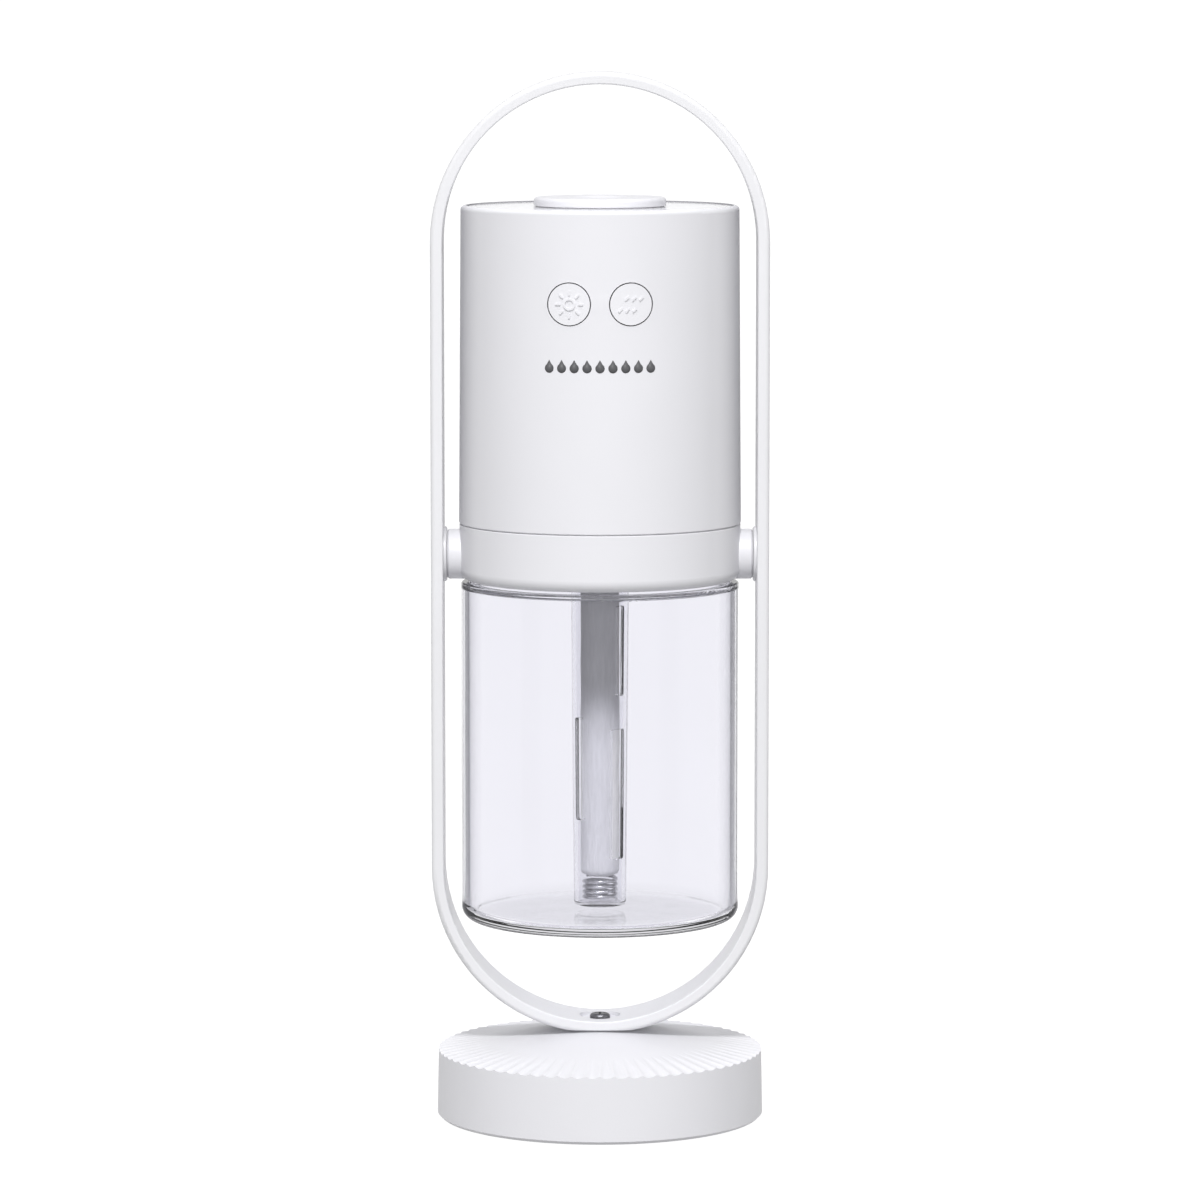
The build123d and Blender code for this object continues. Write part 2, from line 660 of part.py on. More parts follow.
with BuildPart() as wick_holder:
    turned(
        (
            (CHANNEL_BORE, TUBE_TOP_Z),
            (TUBE_TOP_RADIUS + SNUG, TUBE_TOP_Z),
            (TUBE_TOP_RADIUS + SNUG, SOCKET_FOOT_Z),
            (SOCKET_RADIUS, SOCKET_FOOT_Z),
            (SOCKET_RADIUS, LEDGE_TOP_Z),
            (HOLDER_RADIUS, LEDGE_TOP_Z),
            (HOLDER_RADIUS, HOLDER_TOP_Z),
            (CHANNEL_RADIUS, HOLDER_TOP_Z),
            (CHANNEL_RADIUS, CHANNEL_CUP_Z - CHANNEL_FLARE),
            (CHANNEL_CUP_RADIUS, CHANNEL_CUP_Z),
            (CHANNEL_CUP_RADIUS, CHANNEL_TOP_Z),
            (CHANNEL_BORE, CHANNEL_TOP_Z),
        )
    )
    for index in range(LENS_COUNT):
        spot = on_circle(LENS_CIRCLE, LENS_TURN + index * 360 / LENS_COUNT)
        peg(*spot, LENS_RADIUS + SNUG, LEDGE_TOP_Z, HOLDER_TOP_Z, mode=Mode.SUBTRACT)
    for index in range(LEDGE_SCREW_COUNT):
        spot = on_circle(LEDGE_SCREW_CIRCLE, LEDGE_SCREW_TURN + index * 360 / LEDGE_SCREW_COUNT)
        peg(*spot, LEDGE_SCREW_RADIUS + SNUG, LEDGE_TOP_Z, HOLDER_TOP_Z, mode=Mode.SUBTRACT)
    for index in range(BOARD_POST_COUNT):
        spot = on_circle(BOARD_POST_CIRCLE, index * 360 / BOARD_POST_COUNT)
        peg(*spot, BOARD_POST_RADIUS, HOLDER_TOP_Z, LIGHT_BOARD_Z)
keep(wick_holder, "wick_holder")

# ---------------------------------------------------------------- head shell

POST_RADIUS = 2.2
POST_X = 11.5
POST_Z = 176.0
CARRIER_FRONT_Y = -25.6
COLUMN_RADIUS = 3.1
COLUMN_TOP_Z = 150.0
COLUMN_BORE_DEPTH = 7.0
WEB_WIDTH = 2.4
WEB_LENGTH = 6.0
WEB_CIRCLE = LEDGE_SCREW_CIRCLE + WEB_LENGTH * HALF
WEB_FOOT_Z = SPIGOT_TOP_Z + 0.5
TOP_LEDGE_BORE = 29.0
TOP_LEDGE_Z = 206.0
TOP_LEDGE_ROOT_Z = 205.0
TOP_BORE = 30.0
TOP_SEAT_Z = 207.5
TOP_POCKET_GAP = 0.15
TOP_POCKET_RADIUS = TOP_PLATE_RADIUS + TOP_POCKET_GAP
INLET_Z = 149.9
INLET_CUT_WIDTH = 9.0
INLET_CUT_HEIGHT = 3.9
SHELF_WIDTH = 2.5
SHELF_X = 6.7
SHELF_Y = (24.0, 30.2)
SHELF_THICKNESS = 2.0
POST_ROOT = 0.6
OUTSIDE = HEAD_FOOT_RADIUS + 1.0
INLET_BOARD_Z = 147.4
BOARD_SCREW_RADIUS = 0.9
BOARD_SCREW_TIP_Y = -27.6
BOARD_HEAD_RADIUS = 1.8

with BuildPart() as head_shell:
    with BuildSketch(Plane.XZ):
        with BuildLine():
            Polyline(
                (HEAD_BORE, HEAD_FOOT_Z),
                (HEAD_FOOT_RADIUS - SEAM_EDGE, HEAD_FOOT_Z),
                (HEAD_FOOT_RADIUS, HEAD_FOOT_Z + SEAM_EDGE),
                (HEAD_TOP_RADIUS, HEAD_TOP_Z - RIM_EDGE),
            )
            CenterArc((HEAD_TOP_RADIUS - RIM_EDGE, HEAD_TOP_Z - RIM_EDGE), RIM_EDGE, 0, 90)
            Polyline(
                (HEAD_TOP_RADIUS - RIM_EDGE, HEAD_TOP_Z),
                (TOP_POCKET_RADIUS, HEAD_TOP_Z),
                (TOP_POCKET_RADIUS, TOP_SEAT_Z),
                (TOP_LEDGE_BORE, TOP_SEAT_Z),
                (TOP_LEDGE_BORE, TOP_LEDGE_Z),
                (TOP_BORE, TOP_LEDGE_ROOT_Z),
                (HEAD_BORE, HEAD_FOOT_Z),
            )
        make_face()
    revolve(axis=Axis.Z)
    # Screw columns, hung from the wall by a web
    for index in range(LEDGE_SCREW_COUNT):
        angle = LEDGE_SCREW_TURN + index * 360 / LEDGE_SCREW_COUNT
        spot = on_circle(LEDGE_SCREW_CIRCLE, angle)
        peg(*spot, COLUMN_RADIUS, HOLDER_TOP_Z, COLUMN_TOP_Z)
        with BuildSketch(Plane.XY.offset(WEB_FOOT_Z)) as web:
            with Locations(Location(on_circle(WEB_CIRCLE, angle), angle)):
                Rectangle(WEB_LENGTH, WEB_WIDTH)
        extrude(web.sketch, amount=COLUMN_TOP_Z - WEB_FOOT_Z)
        bore_top = HOLDER_TOP_Z + COLUMN_BORE_DEPTH
        peg(*spot, LEDGE_SCREW_RADIUS + SNUG, HOLDER_TOP_Z, bore_top, mode=Mode.SUBTRACT)
    # Posts for the circuit board, and shelves for the inlet board
    post_front = -sqrt(HEAD_BORE**2 - POST_X**2) - POST_ROOT
    post_bore = BOARD_SCREW_RADIUS + SNUG
    key_bore = BUTTON_RADIUS + BUTTON_GROOVE
    for side in (-1, 1):
        post_x = side * POST_X
        bar_y(post_x, POST_Z, POST_RADIUS, post_front, CARRIER_FRONT_Y)
        bar_y(post_x, POST_Z, post_bore, BOARD_SCREW_TIP_Y, CARRIER_FRONT_Y, mode=Mode.SUBTRACT)
        block(side * SHELF_X, SHELF_Y, (INLET_BOARD_Z - SHELF_THICKNESS, INLET_BOARD_Z), SHELF_WIDTH)
        bar_y(side * BUTTON_X, BUTTON_Z, key_bore, -OUTSIDE, -HEAD_BORE * HALF, mode=Mode.SUBTRACT)
    with BuildSketch(Plane.XZ.offset(-OUTSIDE)) as inlet_cut:
        with Locations((0, INLET_Z)):
            SlotOverall(INLET_CUT_WIDTH, INLET_CUT_HEIGHT)
    extrude(inlet_cut.sketch, amount=HEAD_FOOT_RADIUS * HALF, mode=Mode.SUBTRACT)
keep(head_shell, "head_shell")

HEAD_SCREW_REACH = 6.5

with BuildPart() as head_screws:
    for index in range(LEDGE_SCREW_COUNT):
        spot = on_circle(LEDGE_SCREW_CIRCLE, LEDGE_SCREW_TURN + index * 360 / LEDGE_SCREW_COUNT)
        peg(*spot, LEDGE_SCREW_HEAD_RADIUS, LEDGE_Z, LEDGE_Z + LEDGE_SCREW_HEAD)
        peg(*spot, LEDGE_SCREW_RADIUS, LEDGE_Z + LEDGE_SCREW_HEAD, HOLDER_TOP_Z + HEAD_SCREW_REACH)
keep(head_screws, "head_screws")

# ---------------------------------------------------------------- top plate, mist cap and atomiser

SKIRT_RADIUS = 10.4
SKIRT_BORE = 7.6
SKIRT_FOOT_Z = 207.0
CAP_EDGE = 0.8
CAP_UNDERCUT = 0.5
CAP_GAP = 0.25
OUTLET_RADIUS = 4.0
DISH_RADIUS = 6.5
DISH_DEPTH = 0.7
OUTLET_EDGE = 0.4
SKIRT_FLARE = 1.0
TOP_PLATE_EDGE = 0.2

with BuildPart() as top_plate:
    disc(TOP_PLATE_RADIUS, TOP_SEAT_Z, TOP_PLATE_Z, bore=SKIRT_RADIUS + FACE_GAP)
    rim = top_plate.faces().sort_by(Axis.Z)[-1].edges().sort_by(SortBy.RADIUS)[-1]
    chamfer(rim, TOP_PLATE_EDGE)
keep(top_plate, "top_plate")

with BuildPart() as mist_cap:
    with BuildSketch(Plane.XZ):
        with BuildLine():
            Polyline(
                (SKIRT_BORE, SKIRT_FOOT_Z),
                (SKIRT_RADIUS, SKIRT_FOOT_Z),
                (SKIRT_RADIUS, TOP_PLATE_Z),
                (CAP_RADIUS - CAP_UNDERCUT, TOP_PLATE_Z),
                (CAP_RADIUS - CAP_UNDERCUT, TOP_PLATE_Z + CAP_GAP),
                (CAP_RADIUS, TOP_PLATE_Z + CAP_GAP),
                (CAP_RADIUS, CAP_TOP_Z - CAP_EDGE),
            )
            CenterArc((CAP_RADIUS - CAP_EDGE, CAP_TOP_Z - CAP_EDGE), CAP_EDGE, 0, 90)
            Polyline(
                (CAP_RADIUS - CAP_EDGE, CAP_TOP_Z),
                (DISH_RADIUS, CAP_TOP_Z),
                (OUTLET_RADIUS + OUTLET_EDGE, CAP_TOP_Z - DISH_DEPTH),
                (OUTLET_RADIUS, CAP_TOP_Z - DISH_DEPTH - OUTLET_EDGE),
                (OUTLET_RADIUS, TOP_PLATE_Z),
                (SKIRT_BORE, TOP_PLATE_Z - SKIRT_FLARE),
                (SKIRT_BORE, SKIRT_FOOT_Z),
            )
        make_face()
    revolve(axis=Axis.Z)
keep(mist_cap, "mist_cap")

ATOMISER_RADIUS = 8.0
ATOMISER_THICKNESS = 0.6
SEAL_RADIUS = 9.6
SEAL_BORE = 6.5
GROOVE_GAP = 0.05

with BuildPart() as atomiser_seal:
    groove_low = ATOMISER_Z - GROOVE_GAP
    groove_high = ATOMISER_Z + ATOMISER_THICKNESS + GROOVE_GAP
    groove_radius = ATOMISER_RADIUS + GROOVE_GAP
    turned(
        (
            (SEAL_BORE, CHANNEL_TOP_Z),
            (SEAL_RADIUS, CHANNEL_TOP_Z),
            (SEAL_RADIUS, SKIRT_FOOT_Z),
            (SEAL_BORE, SKIRT_FOOT_Z),
            (SEAL_BORE, groove_high),
            (groove_radius, groove_high),
            (groove_radius, groove_low),
            (SEAL_BORE, groove_low),
        )
    )
keep(atomiser_seal, "atomiser_seal")

with BuildPart() as atomiser_disc:
    disc(ATOMISER_RADIUS, ATOMISER_Z, ATOMISER_Z + ATOMISER_THICKNESS)
keep(atomiser_disc, "atomiser_disc")

# ---------------------------------------------------------------- buttons

FLANGE_RADIUS = 5.6
FLANGE_FRONT_Y = -27.2
FLANGE_BACK_Y = -26.2
PLUNGER_RADIUS = 1.8
PLUNGER_BACK_Y = -23.55
ICON_HEIGHT = 0.3
ICON_LINE = 0.42
SUN_RADIUS = 1.35
SUN_RAY_START = 1.95
SUN_RAY_END = 3.15
SUN_RAY_COUNT = 8
MIST_PITCH = 1.6
MIST_ROW = 2.6
MIST_ARC_RADIUS = 0.8
MIST_ARC_SIZE = 85
MIST_SLANT = 1.5
MIST_LEAN = 60.0
KEY_BOTTOM_Z = BUTTON_Z - 2 * BUTTON_RADIUS
KEY_TOP_Z = BUTTON_Z + 2 * BUTTON_RADIUS
ICON_ROOT = 1.0


def button_blank(x):
    """Button: a round key with a face that follows the head, a flange and a plunger."""
    face_radius = head_radius(BUTTON_Z) + BUTTON_PROUD
    bar_y(x, BUTTON_Z, BUTTON_RADIUS, -OUTSIDE, FLANGE_FRONT_Y)
    disc(face_radius, KEY_BOTTOM_Z, KEY_TOP_Z, mode=Mode.INTERSECT)
    bar_y(x, BUTTON_Z, FLANGE_RADIUS, FLANGE_FRONT_Y, FLANGE_BACK_Y)
    bar_y(x, BUTTON_Z, PLUNGER_RADIUS, FLANGE_BACK_Y, PLUNGER_BACK_Y)


def raised(icon_sketch):
    """Raise an icon a little above the curved face of a button."""
    icon_radius = head_radius(BUTTON_Z) + BUTTON_PROUD + ICON_HEIGHT
    with BuildPart() as icon:
        extrude(icon_sketch, amount=OUTSIDE)
        disc(icon_radius, KEY_BOTTOM_Z, KEY_TOP_Z, mode=Mode.INTERSECT)
        disc(icon_radius - ICON_ROOT, KEY_BOTTOM_Z, KEY_TOP_Z, mode=Mode.SUBTRACT)
    add(icon.part)


with BuildPart() as light_button:
    button_blank(-BUTTON_X)
    with BuildSketch(Plane.XZ) as sun:
        with Locations((-BUTTON_X, BUTTON_Z)):
            Circle(SUN_RADIUS)
            Circle(SUN_RADIUS - ICON_LINE, mode=Mode.SUBTRACT)
            with PolarLocations((SUN_RAY_START + SUN_RAY_END) * HALF, SUN_RAY_COUNT):
                SlotOverall(SUN_RAY_END - SUN_RAY_START, ICON_LINE)
    raised(sun.sketch)
keep(light_button, "light_button")

with BuildPart() as mist_button:
    button_blank(BUTTON_X)
    with BuildSketch(Plane.XZ) as waves:
        for row in (-1, 1):
            for column in (-1, 0, 1):
                wave_x = BUTTON_X + column * MIST_PITCH + row * MIST_SLANT * HALF
                wave_z = BUTTON_Z + row * MIST_ROW * HALF
                with BuildLine() as wave:
                    for way in (1, -1):
                        JernArc(
                            (wave_x, wave_z),
                            (way * cos(radians(MIST_LEAN)), way * sin(radians(MIST_LEAN))),
                            MIST_ARC_RADIUS,
                            -MIST_ARC_SIZE * HALF,
                        )
                trace(wave.line, line_width=ICON_LINE)
    raised(waves.sketch)
keep(mist_button, "mist_button")

# ---------------------------------------------------------------- electronics

CARRIER_BACK_Y = -24.2
CARRIER_HALF_WIDTH = 14.0
CARRIER_FOOT_Z = 172.0
CARRIER_TOP_Z = 196.0
PLUNGER_GAP = 0.25
BOARD_FRONT_Y = -19.0
BOARD_BACK_Y = -17.8
BOARD_FOOT_Z = 165.0
BOARD_TOP_Z = 199.0
SWITCH_SIDE = 6.0
SWITCH_FRONT_Y = -22.6
STEM_RADIUS = 1.7
# The switch stems are drawn pressed, so the keys have room for their whole travel.
STEM_FRONT_Y = PLUNGER_BACK_Y + BUTTON_TRAVEL + BUTTON_FREE_PLAY

with BuildPart() as button_carrier:
    carrier_z = (CARRIER_FOOT_Z, CARRIER_TOP_Z)
    block(0, (CARRIER_FRONT_Y, CARRIER_BACK_Y), carrier_z, 2 * CARRIER_HALF_WIDTH)
    guide_bore = PLUNGER_RADIUS + PLUNGER_GAP
    for side in (-1, 1):
        post_x = side * POST_X
        key_x = side * BUTTON_X
        bar_y(post_x, POST_Z, POST_RADIUS, CARRIER_BACK_Y, BOARD_FRONT_Y)
        bar_y(post_x, POST_Z, post_bore, CARRIER_FRONT_Y, BOARD_FRONT_Y, mode=Mode.SUBTRACT)
        bar_y(key_x, BUTTON_Z, guide_bore, CARRIER_FRONT_Y, CARRIER_BACK_Y, mode=Mode.SUBTRACT)
keep(button_carrier, "button_carrier")

with BuildPart() as circuit_board:
    block(0, (BOARD_FRONT_Y, BOARD_BACK_Y), (BOARD_FOOT_Z, BOARD_TOP_Z), 2 * CARRIER_HALF_WIDTH)
    for side in (-1, 1):
        bar_y(side * POST_X, POST_Z, post_bore, BOARD_FRONT_Y, BOARD_BACK_Y, mode=Mode.SUBTRACT)
keep(circuit_board, "circuit_board")

BOARD_HEAD = 1.2
BOARD_SCREW_GAP = 0.3

with BuildPart() as board_screws:
    screw_front = BOARD_SCREW_TIP_Y + BOARD_SCREW_GAP
    for side in (-1, 1):
        bar_y(side * POST_X, POST_Z, BOARD_HEAD_RADIUS, BOARD_BACK_Y, BOARD_BACK_Y + BOARD_HEAD)
        bar_y(side * POST_X, POST_Z, BOARD_SCREW_RADIUS, screw_front, BOARD_BACK_Y)
keep(board_screws, "board_screws")

with BuildPart() as tact_switches:
    for side in (-1, 1):
        block(
            side * BUTTON_X,
            (SWITCH_FRONT_Y, BOARD_FRONT_Y),
            (BUTTON_Z - SWITCH_SIDE * HALF, BUTTON_Z + SWITCH_SIDE * HALF),
            SWITCH_SIDE,
        )
        bar_y(side * BUTTON_X, BUTTON_Z, STEM_RADIUS, STEM_FRONT_Y, SWITCH_FRONT_Y)
keep(tact_switches, "tact_switches")

CHIP_SIDE = 7.0
CHIP_Z = 180.0
CHIP_THICKNESS = 1.4
CAPACITOR_RADIUS = 2.4
CAPACITOR_LENGTH = 6.0
CAPACITOR_X = 7.5
COIL_RADIUS = 3.4
COIL_LENGTH = 4.0
COIL_Z = 170.5

with BuildPart() as board_components:
    block(0, (BOARD_BACK_Y, BOARD_BACK_Y + CHIP_THICKNESS), (CHIP_Z, CHIP_Z + CHIP_SIDE), CHIP_SIDE)
    capacitor_end = BOARD_BACK_Y + CAPACITOR_LENGTH
    for side in (-1, 1):
        bar_y(side * CAPACITOR_X, BUTTON_Z, CAPACITOR_RADIUS, BOARD_BACK_Y, capacitor_end)
    bar_y(0, COIL_Z, COIL_RADIUS, BOARD_BACK_Y, BOARD_BACK_Y + COIL_LENGTH)
keep(board_components, "board_components")

LIGHT_BOARD_RADIUS = 21.0
LIGHT_BOARD_BORE = 7.6
LIGHT_BOARD_THICKNESS = 1.2
LIGHT_BOARD_TOP_Z = LIGHT_BOARD_Z + LIGHT_BOARD_THICKNESS
LED_SIDE = 3.5
LED_HEIGHT = 1.8
LENS_FLANGE_RADIUS = 3.7
LENS_FLANGE = 0.3

with BuildPart() as light_board:
    disc(LIGHT_BOARD_RADIUS, LIGHT_BOARD_Z, LIGHT_BOARD_TOP_Z, bore=LIGHT_BOARD_BORE)
keep(light_board, "light_board")

with BuildPart() as light_emitters:
    for index in range(LENS_COUNT):
        angle = LENS_TURN + index * 360 / LENS_COUNT
        with BuildSketch(Plane.XY.offset(LIGHT_BOARD_Z)) as emitter:
            with Locations(Location(on_circle(LENS_CIRCLE, angle), angle)):
                Rectangle(LED_SIDE, LED_SIDE)
        extrude(emitter.sketch, amount=-LED_HEIGHT)
keep(light_emitters, "light_emitters")

with BuildPart() as light_lenses:
    for index in range(LENS_COUNT):
        spot = on_circle(LENS_CIRCLE, LENS_TURN + index * 360 / LENS_COUNT)
        peg(*spot, LENS_RADIUS, LEDGE_TOP_Z, HOLDER_TOP_Z)
        peg(*spot, LENS_FLANGE_RADIUS, HOLDER_TOP_Z, HOLDER_TOP_Z + LENS_FLANGE)
keep(light_lenses, "light_lenses")

INLET_BOARD_THICKNESS = 1.0
INLET_BOARD_FRONT_Y = 16.5
INLET_BOARD_BACK_Y = 28.8
INLET_BOARD_HALF_WIDTH = 8.2
INLET_WIDTH = 7.6
INLET_HEIGHT = 2.9
INLET_DEPTH = 5.6
INLET_BACK_Y = 30.0
INLET_SKIN = 0.35
INLET_CORNER = 0.6
INLET_FLOOR = 1.0
TONGUE_WIDTH = 4.6
TONGUE_HEIGHT = 0.7
TONGUE_SET_BACK = 1.0

inlet_foot_z = INLET_BOARD_Z + INLET_BOARD_THICKNESS

with BuildPart() as inlet_board:
    block(
        0,
        (INLET_BOARD_FRONT_Y, INLET_BOARD_BACK_Y),
        (INLET_BOARD_Z, inlet_foot_z),
        2 * INLET_BOARD_HALF_WIDTH,
    )
keep(inlet_board, "inlet_board")

with BuildPart() as power_inlet:
    inlet_z = (inlet_foot_z, inlet_foot_z + INLET_HEIGHT)
    block(0, (INLET_BACK_Y - INLET_DEPTH, INLET_BACK_Y), inlet_z, INLET_WIDTH)
    fillet(power_inlet.edges().filter_by(Axis.Y), INLET_CORNER)
    block(
        0,
        (INLET_BACK_Y - INLET_DEPTH + INLET_FLOOR, INLET_BACK_Y),
        (inlet_z[0] + INLET_SKIN, inlet_z[1] - INLET_SKIN),
        INLET_WIDTH - 2 * INLET_SKIN,
        mode=Mode.SUBTRACT,
    )
    tongue_z = (inlet_z[0] + inlet_z[1] - TONGUE_HEIGHT) * HALF
    block(
        0,
        (INLET_BACK_Y - INLET_DEPTH + INLET_FLOOR, INLET_BACK_Y - TONGUE_SET_BACK),
        (tongue_z, tongue_z + TONGUE_HEIGHT),
        TONGUE_WIDTH,
    )
keep(power_inlet, "power_inlet")

WIRE_RADIUS = 0.5
WIRE_BEND = 2.0


def wire(*route):
    """One insulated wire along straight runs joined by arcs."""
    with BuildPart() as strand:
        with BuildLine() as path:
            FilletPolyline(*route, radius=WIRE_BEND)
        with BuildSketch(Plane(path.line @ 0, z_dir=path.line % 0)):
            Circle(WIRE_RADIUS)
        sweep(path=path.line)
    add(strand.part)


POWER_WIRE_X = 7.4
POWER_WIRE_FRONT_Y = -14.6
POWER_WIRE_BACK_Y = 19.0
POWER_WIRE_CROSS_Z = 158.0
POWER_WIRE_END_Z = 168.0
LIGHT_WIRE_X = 4.2
LIGHT_WIRE_END_Z = 175.0
MIST_WIRE_X = 3.0
MIST_WIRE_Y = -13.6
MIST_WIRE_START_Z = 194.5
MIST_WIRE_END_Z = 205.8

with BuildPart() as wires:
    # From the inlet board to the circuit board, past the wick channel
    wire(
        (POWER_WIRE_X, POWER_WIRE_BACK_Y, inlet_foot_z),
        (POWER_WIRE_X, POWER_WIRE_BACK_Y, POWER_WIRE_CROSS_Z),
        (POWER_WIRE_X, POWER_WIRE_FRONT_Y, POWER_WIRE_CROSS_Z),
        (POWER_WIRE_X, POWER_WIRE_FRONT_Y, POWER_WIRE_END_Z),
        (POWER_WIRE_X, BOARD_BACK_Y, POWER_WIRE_END_Z),
    )
    # From the light board to the circuit board
    wire(
        (LIGHT_WIRE_X, POWER_WIRE_FRONT_Y, LIGHT_BOARD_TOP_Z),
        (LIGHT_WIRE_X, POWER_WIRE_FRONT_Y, LIGHT_WIRE_END_Z),
        (LIGHT_WIRE_X, BOARD_BACK_Y, LIGHT_WIRE_END_Z),
    )
    # From the circuit board to the atomiser
    wire(
        (MIST_WIRE_X, BOARD_BACK_Y, MIST_WIRE_START_Z),
        (MIST_WIRE_X, MIST_WIRE_Y, MIST_WIRE_START_Z),
        (MIST_WIRE_X, MIST_WIRE_Y, MIST_WIRE_END_Z),
        (MIST_WIRE_X, -SEAL_RADIUS, MIST_WIRE_END_Z),
    )
    mirror(about=Plane.YZ)
keep(wires, "wires")
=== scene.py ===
"""Looks of the cool mist humidifier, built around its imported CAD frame. All lengths are in metres."""

import math

import bmesh
import bpy
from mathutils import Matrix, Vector, noise


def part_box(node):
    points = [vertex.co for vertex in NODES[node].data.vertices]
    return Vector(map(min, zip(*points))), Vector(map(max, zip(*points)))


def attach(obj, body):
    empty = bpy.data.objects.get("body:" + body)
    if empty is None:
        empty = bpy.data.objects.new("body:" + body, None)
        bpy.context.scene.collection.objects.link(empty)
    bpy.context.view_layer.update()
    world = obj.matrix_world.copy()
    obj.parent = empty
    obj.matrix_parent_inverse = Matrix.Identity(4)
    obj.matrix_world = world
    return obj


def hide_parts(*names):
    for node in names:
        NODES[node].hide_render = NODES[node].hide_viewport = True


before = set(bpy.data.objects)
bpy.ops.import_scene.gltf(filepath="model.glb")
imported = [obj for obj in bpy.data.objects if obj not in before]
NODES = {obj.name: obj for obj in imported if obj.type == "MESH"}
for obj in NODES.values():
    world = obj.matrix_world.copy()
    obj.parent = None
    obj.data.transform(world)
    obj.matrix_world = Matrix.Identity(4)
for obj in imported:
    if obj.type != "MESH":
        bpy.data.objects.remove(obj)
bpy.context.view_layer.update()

# ---------------------------------------------------------------- places read from the frame

head_low, head_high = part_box("head_shell")
wick_low, wick_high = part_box("cotton_wick")

# ---------------------------------------------------------------- camera

CAMERA_PLACE = Vector((0.0, -1.300, 0.2633))
CAMERA_LENS = 170.9
SENSOR = 36.0
CLIP_START = 0.05
CLIP_END = 200.0
AIM = Vector((0.0, 0.0, 0.12))


def look_at_aim(thing, place):
    """Put a camera or a lamp at a place and turn it to the middle of the object."""
    thing.location = place
    thing.rotation_mode = "QUATERNION"
    thing.rotation_quaternion = (AIM - place).to_track_quat("-Z", "Y")


def make_camera():
    """Long lens in front of the object, a little above it, looking slightly down."""
    data = bpy.data.cameras.new("camera")
    data.sensor_width = SENSOR
    data.lens = CAMERA_LENS
    data.clip_start = CLIP_START
    data.clip_end = CLIP_END
    camera = bpy.data.objects.new("camera", data)
    bpy.context.scene.collection.objects.link(camera)
    look_at_aim(camera, CAMERA_PLACE)
    bpy.context.scene.camera = camera


# ---------------------------------------------------------------- lights

KEY_PLACE = Vector((-0.09, -1.84, 2.12))
KEY_SIZE = (0.40, 0.30)
KEY_POWER = 50.0
FILL_PLACE = Vector((-0.05, -2.2, 0.50))
FILL_SIZE = (0.9, 0.5)
FILL_POWER = 12.0


def make_softbox(name, place, size, power):
    """A rectangular soft light that points at the object."""
    data = bpy.data.lights.new(name, "AREA")
    data.shape = "RECTANGLE"
    data.size, data.size_y = size
    data.energy = power
    light = bpy.data.objects.new(name, data)
    bpy.context.scene.collection.objects.link(light)
    look_at_aim(light, place)
    return light


def make_lights():
    """Key from above in front, which draws the hoop's shadow on the base, and a low front fill."""
    make_softbox("key_light", KEY_PLACE, KEY_SIZE, KEY_POWER)
    fill = make_softbox("front_fill", FILL_PLACE, FILL_SIZE, FILL_POWER)
    fill.visible_glossy = False
    fill.visible_transmission = False


# ---------------------------------------------------------------- shader helpers


def new_material(name):
    """A node material with its principled shader."""
    material = bpy.data.materials.new(name)
    material.use_nodes = True
    tree = material.node_tree
    return material, tree, tree.nodes["Principled BSDF"]


def is_diffuse_ray(tree):
    """One where light is gathered by a matt surface, zero where a surface is seen or mirrored."""
    return tree.nodes.new("ShaderNodeLightPath").outputs["Is Diffuse Ray"]


def math_node(tree, operation, first, second, clamp=False):
    """Result of a maths node; either input may be a number or a socket."""
    node = tree.nodes.new("ShaderNodeMath")
    node.operation = operation
    node.use_clamp = clamp
    for place, value in enumerate((first, second)):
        if isinstance(value, (int, float)):
            node.inputs[place].default_value = value
        else:
            tree.links.new(value, node.inputs[place])
    return node.outputs["Value"]


def map_range(tree, value, given, wanted):
    """Value that runs over the wanted span as the input runs over the given one."""
    node = tree.nodes.new("ShaderNodeMapRange")
    node.inputs["From Min"].default_value, node.inputs["From Max"].default_value = given
    node.inputs["To Min"].default_value, node.inputs["To Max"].default_value = wanted
    tree.links.new(value, node.inputs["Value"])
    return node.outputs["Result"]


# ---------------------------------------------------------------- world and floor

HORIZON_BAND = (0.03, 0.16)
HORIZON_GLOW = 1.0
SEEN_SKY = 0.80
ZENITH_LIGHT = 1.45
REAR_LIGHT = 0.45
SIDE_FLAG = 0.5
FLOOR_SIZE = 120.0
FLOOR_GLOW = 1.0
FLOOR_SPILL = 0.27
FLOOR_COLOUR = (0.10, 0.10, 0.10, 1.0)
FLOOR_ROUGHNESS = 0.9
PURE_WHITE = (1.0, 1.0, 1.0, 1.0)


